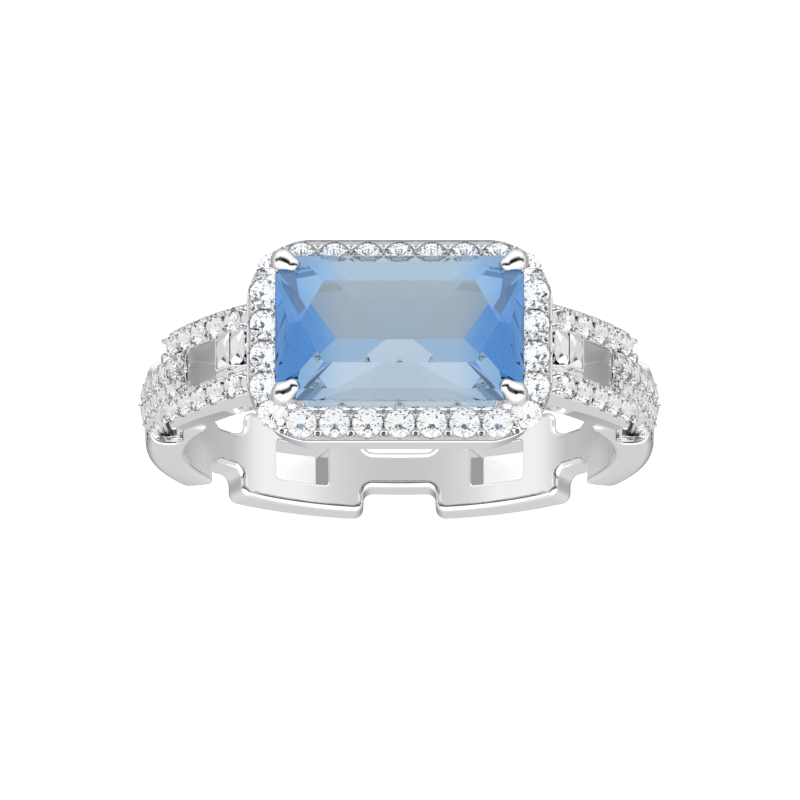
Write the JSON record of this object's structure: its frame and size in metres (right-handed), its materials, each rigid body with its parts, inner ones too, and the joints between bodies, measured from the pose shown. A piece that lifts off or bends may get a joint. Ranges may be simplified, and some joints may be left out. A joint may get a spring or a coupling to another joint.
{
  "type": "cocktail ring",
  "caption": "Dress ring with a rectangular blue stone in claws, a halo of round stones and a chain-link style band with stone-set shoulders.",
  "frame": {"origin": "centre of the finger hole", "axes": "+Y along the finger axis through the hole, +Z from the hole's centre up to the centre stone, +X to the side, along the stone's long side"},
  "size_m": [0.021, 0.0086, 0.0247],
  "materials": {
    "polished_metal": "mirror-polished rhodium plate on sterling silver",
    "blue_stone": "polished transparent light-to-mid blue stone, faceted",
    "white_stone": "polished colourless faceted stone"
  },
  "bodies": {
    "root": {"lower_shank": "polished_metal", "connector_right": "polished_metal", "connector_left": "polished_metal", "shoulder_right": "polished_metal", "shoulder_left": "polished_metal", "bridge": "polished_metal", "gallery_rail": "polished_metal", "gallery_posts": "polished_metal", "halo_plate": "polished_metal", "seat_rail": "polished_metal", "claw_front_left": "polished_metal", "claw_front_right": "polished_metal", "claw_rear_left": "polished_metal", "claw_rear_right": "polished_metal", "centre_stone": "blue_stone", "halo_stones_front": "white_stone", "halo_stones_rear": "white_stone", "halo_stones_left": "white_stone", "halo_stones_right": "white_stone", "halo_stones_corners": "white_stone", "rail_stones_front_right": "white_stone", "rail_stones_rear_right": "white_stone", "rail_stones_front_left": "white_stone", "rail_stones_rear_left": "white_stone", "block_stones_right": "white_stone", "block_stones_left": "white_stone", "connector_stones_right": "white_stone", "connector_stones_left": "white_stone", "flank_stones_right": "white_stone", "flank_stones_left": "white_stone"}
  },
  "joints": []
}
